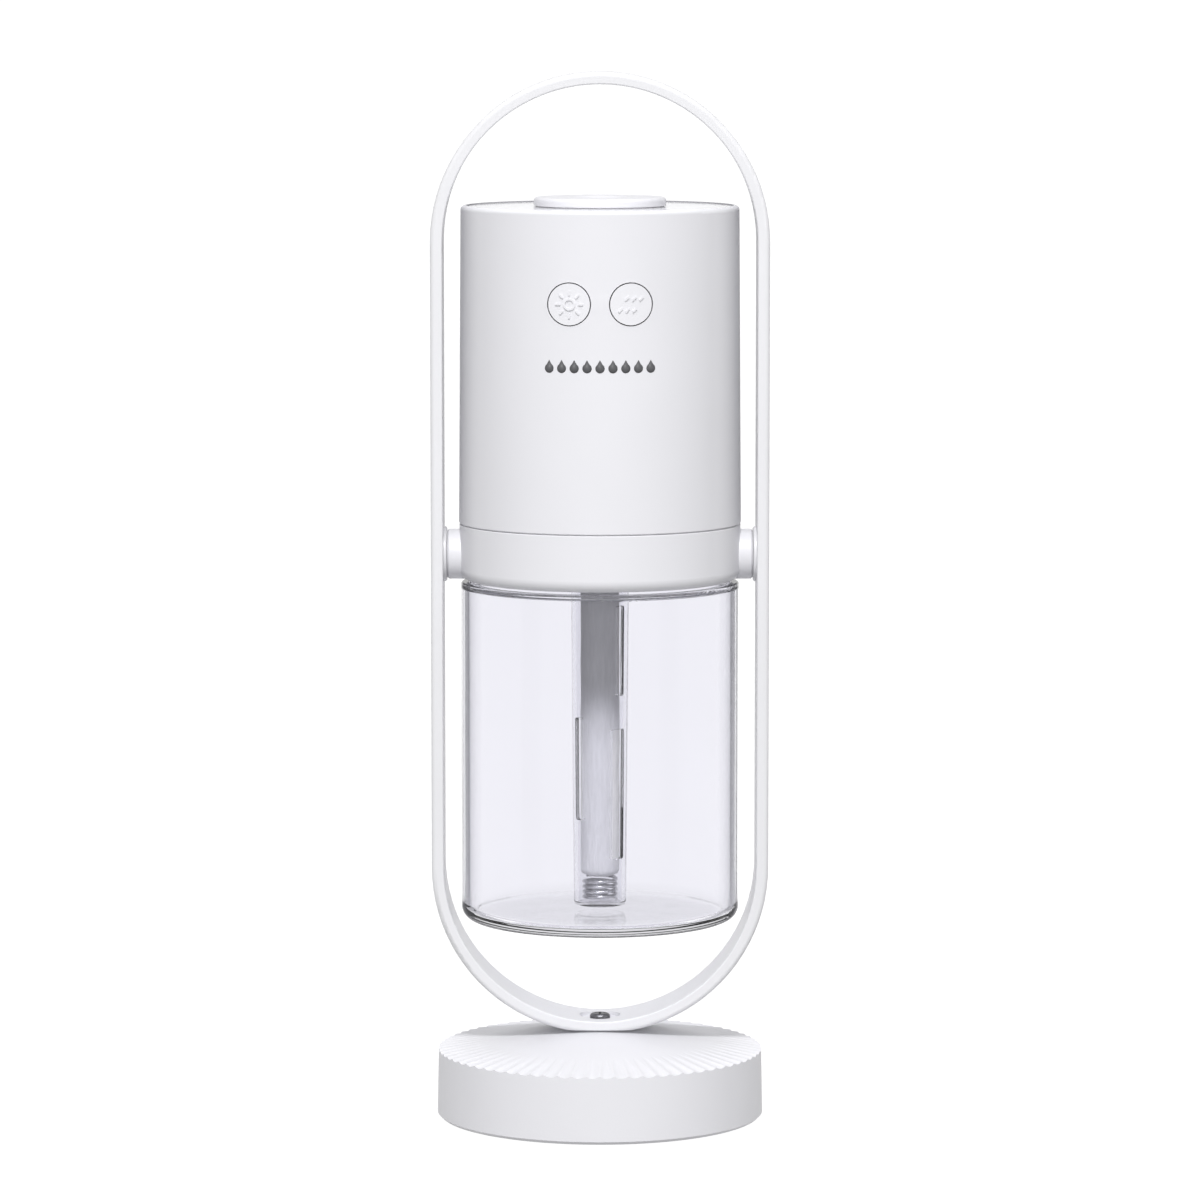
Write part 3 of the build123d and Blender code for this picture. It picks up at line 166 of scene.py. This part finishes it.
def make_world():
    """Studio surroundings: white horizon, soft light above and behind, flags at the sides.

    What is seen or mirrored is a plain pale sky. Only light gathered by matt surfaces has the rest.
    """
    world = bpy.data.worlds.new("studio")
    world.use_nodes = True
    tree = world.node_tree
    background = tree.nodes["Background"]
    background.inputs["Color"].default_value = PURE_WHITE
    places = tree.nodes.new("ShaderNodeTexCoord")
    split = tree.nodes.new("ShaderNodeSeparateXYZ")
    tree.links.new(places.outputs["Generated"], split.inputs["Vector"])
    height = split.outputs["Z"]

    lit = map_range(tree, height, HORIZON_BAND, (HORIZON_GLOW, 0.0))
    above = map_range(tree, height, (HORIZON_BAND[1], 1.0), (0.0, ZENITH_LIGHT))
    behind = math_node(tree, "MULTIPLY", split.outputs["Y"], 1.0, clamp=True)
    behind = math_node(tree, "MULTIPLY", math_node(tree, "MULTIPLY", behind, behind), REAR_LIGHT)
    lit = math_node(tree, "ADD", math_node(tree, "ADD", lit, above), behind)
    sideways = math_node(tree, "MULTIPLY", split.outputs["X"], split.outputs["X"])
    kept = math_node(tree, "SUBTRACT", 1.0, math_node(tree, "MULTIPLY", sideways, SIDE_FLAG))
    lit = math_node(tree, "MULTIPLY", lit, kept)

    seen = map_range(tree, height, HORIZON_BAND, (HORIZON_GLOW, SEEN_SKY))
    change = math_node(tree, "SUBTRACT", lit, seen)
    change = math_node(tree, "MULTIPLY", change, is_diffuse_ray(tree))
    tree.links.new(math_node(tree, "ADD", seen, change), background.inputs["Strength"])
    bpy.context.scene.world = world


def make_floor():
    """Plain pale floor, large enough to fill every view. It glows less on the object than to the eye."""
    bpy.ops.mesh.primitive_plane_add(size=FLOOR_SIZE, location=(0.0, 0.0, 0.0))
    floor = bpy.context.object
    floor.name = "floor"
    material, tree, shader = new_material("floor_white")
    shader.inputs["Base Color"].default_value = FLOOR_COLOUR
    shader.inputs["Roughness"].default_value = FLOOR_ROUGHNESS
    shader.inputs["Specular IOR Level"].default_value = 0.0
    shader.inputs["Emission Color"].default_value = PURE_WHITE
    spill = math_node(tree, "MULTIPLY", is_diffuse_ray(tree), FLOOR_SPILL - FLOOR_GLOW)
    glow = math_node(tree, "ADD", spill, FLOOR_GLOW)
    tree.links.new(glow, shader.inputs["Emission Strength"])
    floor.data.materials.append(material)


# ---------------------------------------------------------------- surface helpers

# Most of what a noise texture gives lies in this span.
NOISE_SPAN = (0.3, 0.7)


def object_places(tree):
    """Places in the piece's own space, in metres."""
    return tree.nodes.new("ShaderNodeTexCoord").outputs["Object"]


def object_noise(tree, scale, detail=3.0, roughness=0.5, stretch=None):
    """Noise in object space, in features per metre, stretched along an axis if asked."""
    texture = tree.nodes.new("ShaderNodeTexNoise")
    texture.inputs["Scale"].default_value = scale
    texture.inputs["Detail"].default_value = detail
    texture.inputs["Roughness"].default_value = roughness
    places = object_places(tree)
    if stretch:
        mapping = tree.nodes.new("ShaderNodeMapping")
        mapping.inputs["Scale"].default_value = stretch
        tree.links.new(places, mapping.inputs["Vector"])
        places = mapping.outputs["Vector"]
    tree.links.new(places, texture.inputs["Vector"])
    return texture.outputs["Fac"]


def vary_colour(tree, shader, value, colour, shares):
    """Base colour that runs from one share of the plain colour to another with the noise."""
    ramp = tree.nodes.new("ShaderNodeValToRGB")
    for stop, position, share in zip(ramp.color_ramp.elements, NOISE_SPAN, shares):
        stop.position = position
        stop.color = (*(min(1.0, channel * share) for channel in colour), 1.0)
    tree.links.new(value, ramp.inputs["Fac"])
    tree.links.new(ramp.outputs["Color"], shader.inputs["Base Color"])


def vary_roughness(tree, shader, value, roughness, shares=(1.0, 1.0)):
    """Roughness that runs from one share of the plain value to another with the noise."""
    span = (roughness * shares[0], roughness * shares[1])
    tree.links.new(map_range(tree, value, NOISE_SPAN, span), shader.inputs["Roughness"])


def add_bump(tree, shader, value, depth):
    """Bump of a real depth in metres."""
    bump = tree.nodes.new("ShaderNodeBump")
    bump.inputs["Distance"].default_value = depth
    bump.inputs["Strength"].default_value = 1.0
    tree.links.new(value, bump.inputs["Height"])
    tree.links.new(bump.outputs["Normal"], shader.inputs["Normal"])


# ---------------------------------------------------------------- kinds of material
# A scale is in features per metre and a depth in metres. A pair of shares runs over the noise.

PLASTIC_BENDING = 1.5
PLASTIC_CLOUD_SCALE = 28.0
PLASTIC_PATCH_SCALE = 160.0
PLASTIC_GLOSS_SHARES = (0.93, 1.07)
PLASTIC_GRAIN_SCALE = 2600.0
PLASTIC_GRAIN_DEPTH = 0.000012


def moulded_plastic(
    name, colour, roughness, grain=PLASTIC_GRAIN_SCALE, grain_depth=PLASTIC_GRAIN_DEPTH, spread=0.012
):
    """Moulded plastic: a fine spark-eroded grain, slight cloudiness of colour and of gloss."""
    material, tree, shader = new_material(name)
    cloud = object_noise(tree, PLASTIC_CLOUD_SCALE, detail=2.0)
    vary_colour(tree, shader, cloud, colour, (1.0 - spread, 1.0 + spread))
    patches = object_noise(tree, PLASTIC_PATCH_SCALE, detail=4.0)
    vary_roughness(tree, shader, patches, roughness, PLASTIC_GLOSS_SHARES)
    fine = object_noise(tree, grain, detail=2.0, roughness=0.6)
    add_bump(tree, shader, fine, grain_depth)
    shader.inputs["IOR"].default_value = PLASTIC_BENDING
    return material


WALL_SHADE = (0.97, 0.97, 0.98, 1.0)


def let_light_through(tree, shader):
    """Let lamps and gathered light pass straight through a clear wall, so what it holds is lit."""
    path = tree.nodes.new("ShaderNodeLightPath")
    passing = math_node(
        tree, "MAXIMUM", path.outputs["Is Shadow Ray"], path.outputs["Is Diffuse Ray"]
    )
    gap = tree.nodes.new("ShaderNodeBsdfTransparent")
    gap.inputs["Color"].default_value = WALL_SHADE
    choice = tree.nodes.new("ShaderNodeMixShader")
    tree.links.new(passing, choice.inputs["Fac"])
    tree.links.new(shader.outputs["BSDF"], choice.inputs[1])
    tree.links.new(gap.outputs["BSDF"], choice.inputs[2])
    output = tree.nodes["Material Output"]
    tree.links.new(choice.outputs["Shader"], output.inputs["Surface"])


CLEAR_CLOUD_SCALE = 40.0
CLEAR_CLOUD_SHARES = (0.992, 1.0)
CLEAR_PATCH_SCALE = 90.0
CLEAR_GLOSS_SHARES = (0.5, 1.5)
RIPPLE_SCALE = 55.0
RIPPLE_STRETCH = (1.0, 1.0, 0.25)
RIPPLE_DEPTH = 0.00006


def clear_plastic(name, colour, roughness, bending):
    """Clear injection-moulded plastic with very faint flow ripples."""
    material, tree, shader = new_material(name)
    shader.inputs["Transmission Weight"].default_value = 1.0
    shader.inputs["IOR"].default_value = bending
    let_light_through(tree, shader)
    cloud = object_noise(tree, CLEAR_CLOUD_SCALE, detail=2.0)
    vary_colour(tree, shader, cloud, colour, CLEAR_CLOUD_SHARES)
    patches = object_noise(tree, CLEAR_PATCH_SCALE)
    vary_roughness(tree, shader, patches, roughness, CLEAR_GLOSS_SHARES)
    ripple = object_noise(tree, RIPPLE_SCALE, detail=1.0, stretch=RIPPLE_STRETCH)
    add_bump(tree, shader, ripple, RIPPLE_DEPTH)
    return material


METAL_MARK_SCALE = 900.0
METAL_COLOUR_SHARES = (0.86, 1.0)
METAL_GLOSS_SHARES = (0.75, 1.3)
METAL_MARK_DEPTH = 0.000006
DRAWN_MARKS = (1.0, 1.0, 12.0)
EVEN_MARKS = (1.0, 1.0, 1.0)


def plated_metal(name, colour, roughness, brushed=DRAWN_MARKS):
    """Plated metal with fine drawn or even marks."""
    material, tree, shader = new_material(name)
    shader.inputs["Metallic"].default_value = 1.0
    marks = object_noise(tree, METAL_MARK_SCALE, detail=4.0, stretch=brushed)
    vary_colour(tree, shader, marks, colour, METAL_COLOUR_SHARES)
    vary_roughness(tree, shader, marks, roughness, METAL_GLOSS_SHARES)
    add_bump(tree, shader, marks, METAL_MARK_DEPTH)
    return material


PEBBLE_SCALE = 1400.0
PEBBLE_DEPTH = 0.00003
DUST_SCALE = 70.0
DUST_COLOUR_SHARES = (0.85, 1.15)
DUST_GLOSS_SHARES = (0.95, 1.05)


def soft_rubber(name, colour, roughness):
    """Matt rubber with a fine pebble."""
    material, tree, shader = new_material(name)
    pebble = tree.nodes.new("ShaderNodeTexVoronoi")
    pebble.inputs["Scale"].default_value = PEBBLE_SCALE
    tree.links.new(object_places(tree), pebble.inputs["Vector"])
    dust = object_noise(tree, DUST_SCALE, detail=5.0)
    vary_colour(tree, shader, dust, colour, DUST_COLOUR_SHARES)
    vary_roughness(tree, shader, dust, roughness, DUST_GLOSS_SHARES)
    add_bump(tree, shader, pebble.outputs["Distance"], PEBBLE_DEPTH)
    return material


MASK_GREEN = (0.02, 0.16, 0.06, 1.0)
MASK_GREEN_TOO = (0.02, 0.20, 0.08, 1.0)
TRACK_GREEN = (0.04, 0.30, 0.13, 1.0)
TRACK_SCALE = 90.0
TRACK_WIDTH = 0.06
TRACK_DEPTH = 0.00002
MASK_GLOSS_SCALE = 300.0
MASK_ROUGHNESS = (0.25, 0.4)


def circuit_mask(name):
    """Green solder mask with paler tracks."""
    material, tree, shader = new_material(name)
    tracks = tree.nodes.new("ShaderNodeTexBrick")
    tracks.inputs["Scale"].default_value = TRACK_SCALE
    tracks.inputs["Mortar Size"].default_value = TRACK_WIDTH
    tracks.inputs["Color1"].default_value = MASK_GREEN
    tracks.inputs["Color2"].default_value = MASK_GREEN_TOO
    tracks.inputs["Mortar"].default_value = TRACK_GREEN
    tree.links.new(object_places(tree), tracks.inputs["Vector"])
    tree.links.new(tracks.outputs["Color"], shader.inputs["Base Color"])
    gloss = object_noise(tree, MASK_GLOSS_SCALE)
    rough = map_range(tree, gloss, NOISE_SPAN, MASK_ROUGHNESS)
    tree.links.new(rough, shader.inputs["Roughness"])
    add_bump(tree, shader, tracks.outputs["Fac"], TRACK_DEPTH)
    return material


# Painted shade on the cotton wick: darker above these heights, where the head shades it, with a wavy
# edge.
WICK_LIT_HEIGHT = 0.088
WICK_SHADED_HEIGHT = 0.105
SHADE_EDGE_SCALE = 60.0
SHADE_EDGE_WAVE = 0.006
# Place between the lit and the shaded height, painted grey level there and its blue channel.
WICK_PAINTED_SHADES = (
    (0.0, 0.81, 0.825),
    (0.15, 0.77, 0.7854),
    (0.3, 0.70, 0.714),
    (0.6, 0.63, 0.6426),
    (0.85, 0.59, 0.6018),
    (1.0, 0.54, 0.545),
)
THREAD_SCALE = 2200.0
THREAD_STRETCH = (1.0, 1.0, 0.12)
THREAD_MOTTLE = (0.88, 1.06)
THREAD_ROUGHNESS = (0.75, 0.95)
THREAD_DEPTH = 0.00012
COTTON_SHEEN = 0.25


def painted_shade_colour(tree):
    """Cotton colour by height with painted shade: pale low down, darker towards the head, which shades
    it.
    """
    split = tree.nodes.new("ShaderNodeSeparateXYZ")
    tree.links.new(object_places(tree), split.inputs["Vector"])
    wave = math_node(
        tree, "MULTIPLY", object_noise(tree, SHADE_EDGE_SCALE, detail=2.0), SHADE_EDGE_WAVE
    )
    height = math_node(tree, "ADD", wave, split.outputs["Z"])
    # Share of painted shade: none below the lower height, full above the upper one.
    shaded_share = map_range(tree, height, (WICK_LIT_HEIGHT, WICK_SHADED_HEIGHT), (0.0, 1.0))
    ramp = tree.nodes.new("ShaderNodeValToRGB")
    stops = ramp.color_ramp.elements
    stops.remove(stops[-1])
    for place, grey, blue in WICK_PAINTED_SHADES:
        stop = stops.new(place) if place else stops[0]
        stop.color = (grey, grey, blue, 1.0)
    tree.links.new(shaded_share, ramp.inputs["Fac"])
    return ramp.outputs["Color"]


def wick_cotton(name):
    """Pressed cotton with painted shade: dark near the head, which shades it, pale towards its foot."""
    material, tree, shader = new_material(name)
    threads = object_noise(tree, THREAD_SCALE, detail=4.0, roughness=0.7, stretch=THREAD_STRETCH)
    tint = tree.nodes.new("ShaderNodeVectorMath")
    tint.operation = "SCALE"
    tree.links.new(painted_shade_colour(tree), tint.inputs[0])
    tree.links.new(map_range(tree, threads, NOISE_SPAN, THREAD_MOTTLE), tint.inputs["Scale"])
    tree.links.new(tint.outputs["Vector"], shader.inputs["Base Color"])
    rough = map_range(tree, threads, NOISE_SPAN, THREAD_ROUGHNESS)
    tree.links.new(rough, shader.inputs["Roughness"])
    add_bump(tree, shader, threads, THREAD_DEPTH)
    shader.inputs["Sheen Weight"].default_value = COTTON_SHEEN
    return material


# ---------------------------------------------------------------- finishes of this object

SHELL_WHITE = (0.70, 0.698, 0.728)
HOOP_WHITE = (0.70, 0.70, 0.72)
KEY_WHITE = (0.72, 0.718, 0.748)
INNER_WHITE = (0.74, 0.74, 0.76)
TANK_CLEAR = (0.885, 0.883, 0.916)
TUBE_CLEAR = (0.90, 0.90, 0.92)
ZINC_GREY = (0.62, 0.62, 0.63)
SPRING_GREY = (0.66, 0.66, 0.67)
DARK_STEEL = (0.20, 0.20, 0.21)
BRASS_GOLD = (0.80, 0.62, 0.30)
RUBBER_BLACK = (0.045, 0.045, 0.048)
SILICONE_GREY = (0.62, 0.62, 0.64)
PART_BLACK = (0.03, 0.03, 0.032)
EMITTER_YELLOW = (0.85, 0.78, 0.50)
WIRE_RED = (0.50, 0.03, 0.03)
PRINT_GREY = (0.085, 0.085, 0.09)


def make_white_finishes():
    """The whites of the shell, the hoop, the buttons, the top and the inner parts."""
    return {
        "shell": moulded_plastic("white_shell_finish", SHELL_WHITE, roughness=0.42),
        "hoop": moulded_plastic("white_hoop_finish", HOOP_WHITE, roughness=0.36),
        "key": moulded_plastic("white_key_finish", KEY_WHITE, roughness=0.38),
        "gloss": moulded_plastic(
            "gloss_white_finish", SHELL_WHITE, roughness=0.12, grain=500.0, grain_depth=0.000004
        ),
        "inner": moulded_plastic("inner_white_finish", INNER_WHITE, roughness=0.55),
    }


def make_clear_finishes():
    """The clear tank, and the slightly cloudy wick tube and lenses."""
    return {
        "clear": clear_plastic("clear_tank_finish", TANK_CLEAR, roughness=0.02, bending=1.25),
        "clear_tube": clear_plastic("clear_tube_finish", TUBE_CLEAR, roughness=0.10, bending=1.22),
    }


def make_metal_finishes():
    """Plated steel, spring wire, the dark screw and the atomiser's disc."""
    return {
        "steel": plated_metal("zinc_steel_finish", ZINC_GREY, roughness=0.32),
        "spring": plated_metal("spring_wire_finish", SPRING_GREY, roughness=0.22, brushed=EVEN_MARKS),
        "dark_steel": plated_metal(
            "dark_screw_finish", DARK_STEEL, roughness=0.35, brushed=EVEN_MARKS
        ),
        "brass": plated_metal("atomiser_disc_finish", BRASS_GOLD, roughness=0.28, brushed=EVEN_MARKS),
    }


def make_small_part_finishes():
    """Rubbers, boards, components, wires, print and cotton."""
    return {
        "rubber": soft_rubber("dark_rubber_finish", RUBBER_BLACK, roughness=0.85),
        "silicone": soft_rubber("pale_silicone_finish", SILICONE_GREY, roughness=0.55),
        "board": circuit_mask("solder_mask_finish"),
        "black": moulded_plastic("black_part_finish", PART_BLACK, roughness=0.45, spread=0.2),
        "emitter": moulded_plastic("light_emitter_finish", EMITTER_YELLOW, roughness=0.3, spread=0.05),
        "wire": moulded_plastic("red_wire_finish", WIRE_RED, roughness=0.4, spread=0.1),
        "print": moulded_plastic("grey_print_finish", PRINT_GREY, roughness=0.5, spread=0.06),
        "cotton": wick_cotton("cotton_wick_finish"),
    }


def make_finishes():
    """Every finish used on the object, by a short name."""
    return {
        **make_white_finishes(),
        **make_clear_finishes(),
        **make_metal_finishes(),
        **make_small_part_finishes(),
    }


FINISH_OF_NODE = {
    "base_shell": "shell",
    "base_bottom_plate": "inner",
    "base_weight": "steel",
    "base_foot_pad": "rubber",
    "base_screws": "steel",
    "hoop_screw": "dark_steel",
    "hoop_washer": "steel",
    "hoop_nut": "steel",
    "hoop": "hoop",
    "pivot_bushes": "hoop",
    "pivot_caps": "hoop",
    "pivot_screws": "steel",
    "collar": "shell",
    "head_shell": "shell",
    "head_screws": "steel",
    "top_plate": "gloss",
    "mist_cap": "key",
    "atomiser_seal": "silicone",
    "atomiser_disc": "brass",
    "wick_tube": "clear_tube",
    "cotton_wick": "cotton",
    "wick_spring": "spring",
    "wick_holder": "inner",
    "button_carrier": "inner",
    "circuit_board": "board",
    "board_screws": "steel",
    "tact_switches": "black",
    "board_components": "black",
    "light_board": "board",
    "light_emitters": "emitter",
    "light_lenses": "clear_tube",
    "inlet_board": "board",
    "power_inlet": "steel",
    "wires": "wire",
    "tank_seal": "silicone",
    "water_tank": "clear",
    "light_button": "key",
    "mist_button": "key",
}


def paint_nodes(finishes):
    """Give every CAD node its finish."""
    for name, node in NODES.items():
        node.data.materials.clear()
        node.data.materials.append(finishes[FINISH_OF_NODE[name]])


# ---------------------------------------------------------------- pieces


def new_piece(name, mesh_builder, finish, body):
    """A mesh piece made by a function that fills a bmesh, riding on a body."""
    mesh = bpy.data.meshes.new(name)
    work = bmesh.new()
    mesh_builder(work)
    bmesh.ops.recalc_face_normals(work, faces=work.faces)
    work.to_mesh(mesh)
    work.free()
    mesh.materials.append(finish)
    for polygon in mesh.polygons:
        polygon.use_smooth = True
    piece = bpy.data.objects.new(name, mesh)
    bpy.context.scene.collection.objects.link(piece)
    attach(piece, body)
    return piece


def skin_rings(work, rings):
    """Side faces between rings of points, and a face that closes each end."""
    for lower, upper in zip(rings, rings[1:]):
        for step in range(len(lower)):
            following = (step + 1) % len(lower)
            work.faces.new((lower[step], lower[following], upper[following], upper[step]))
    work.faces.new(rings[-1])
    work.faces.new(list(reversed(rings[0])))


PRINT_HEIGHT = 0.1754
PRINT_DROPS = 9
PRINT_PITCH = 0.0029
PRINT_THICKNESS = 0.00004
PRINT_SINK = 0.00003
DROP_RADIUS = 0.00105
DROP_TIP = 0.0019
DROP_START = -235
DROP_SWEEP = 290
DROP_STEPS = 24
HEAD_TAPER = 0.0005


def head_radius_at(height):
    """Outer radius of the head shell, which narrows by its taper from its foot to its top."""
    slope = HEAD_TAPER / (head_high.z - head_low.z)
    return head_high.x - slope * (height - head_low.z)


def drop_outline():
    """Points of a drop: round below, pointed above."""
    points = []
    for step in range(DROP_STEPS + 1):
        angle = math.radians(DROP_START + step * DROP_SWEEP / DROP_STEPS)
        points.append((DROP_RADIUS * math.cos(angle), DROP_RADIUS * math.sin(angle)))
    points.append((0.0, DROP_TIP))
    return points


def printed_drops(work):
    """A row of small printed drops that follows the head's curve."""
    for index in range(PRINT_DROPS):
        middle = (index - (PRINT_DROPS - 1) / 2) * PRINT_PITCH
        rings = []
        for lift in (-PRINT_SINK, PRINT_THICKNESS):
            ring = []
            for across, up in drop_outline():
                height = PRINT_HEIGHT + up
                radius = head_radius_at(height) + lift
                angle = (middle + across) / radius
                place = (radius * math.sin(angle), -radius * math.cos(angle), height)
                ring.append(work.verts.new(place))
            rings.append(ring)
        skin_rings(work, rings)


WICK_AROUND = 96
WICK_ROW_STEP = 0.0006
WICK_END_ROUND = 0.0016
FIBRE_DEPTH = 0.00022
FIBRE_FINENESS = 1500.0
FIBRE_LENGTH = 0.006
LUMP_DEPTH = 0.00012
LUMP_SIZE = 0.008
HALF = 0.5


def wick_radius(angle, height):
    """Radius of the cotton wick: long fibres and slow lumps taken off its full size."""
    across = Vector((math.cos(angle), math.sin(angle), 0.0)) * wick_high.x
    lengthwise = Vector((0.0, 0.0, height))
    fibre = noise.noise(across * FIBRE_FINENESS + lengthwise / FIBRE_LENGTH)
    lump = noise.noise((across + lengthwise) / LUMP_SIZE)
    return wick_high.x - FIBRE_DEPTH * (HALF + HALF * fibre) - LUMP_DEPTH * (HALF + HALF * lump)


def cotton_wick_rod(work):
    """Pressed cotton rod with fibres along it and softly rounded ends."""
    length = wick_high.z - wick_low.z
    rows = round(length / WICK_ROW_STEP)
    rings = []
    for row in range(rows + 1):
        height = length * row / rows
        to_end = min(height, length - height) / WICK_END_ROUND
        share = math.sqrt(1.0 - (1.0 - min(1.0, to_end)) ** 2)
        rounding = 1.0 - WICK_END_ROUND * (1.0 - share) / wick_high.x
        ring = []
        for step in range(WICK_AROUND):
            angle = math.tau * step / WICK_AROUND
            radius = wick_radius(angle, wick_low.z + height) * rounding
            place = (radius * math.cos(angle), radius * math.sin(angle), wick_low.z + height)
            ring.append(work.verts.new(place))
        rings.append(ring)
    skin_rings(work, rings)


# ---------------------------------------------------------------- the scene

make_camera()
make_world()
make_lights()
make_floor()
finishes = make_finishes()
paint_nodes(finishes)
new_piece("front_print", printed_drops, finishes["print"], "cup")
wick = new_piece("cotton_wick_rod", cotton_wick_rod, finishes["cotton"], "cup")
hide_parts("cotton_wick")

bpy.context.scene.view_settings.view_transform = "Standard"
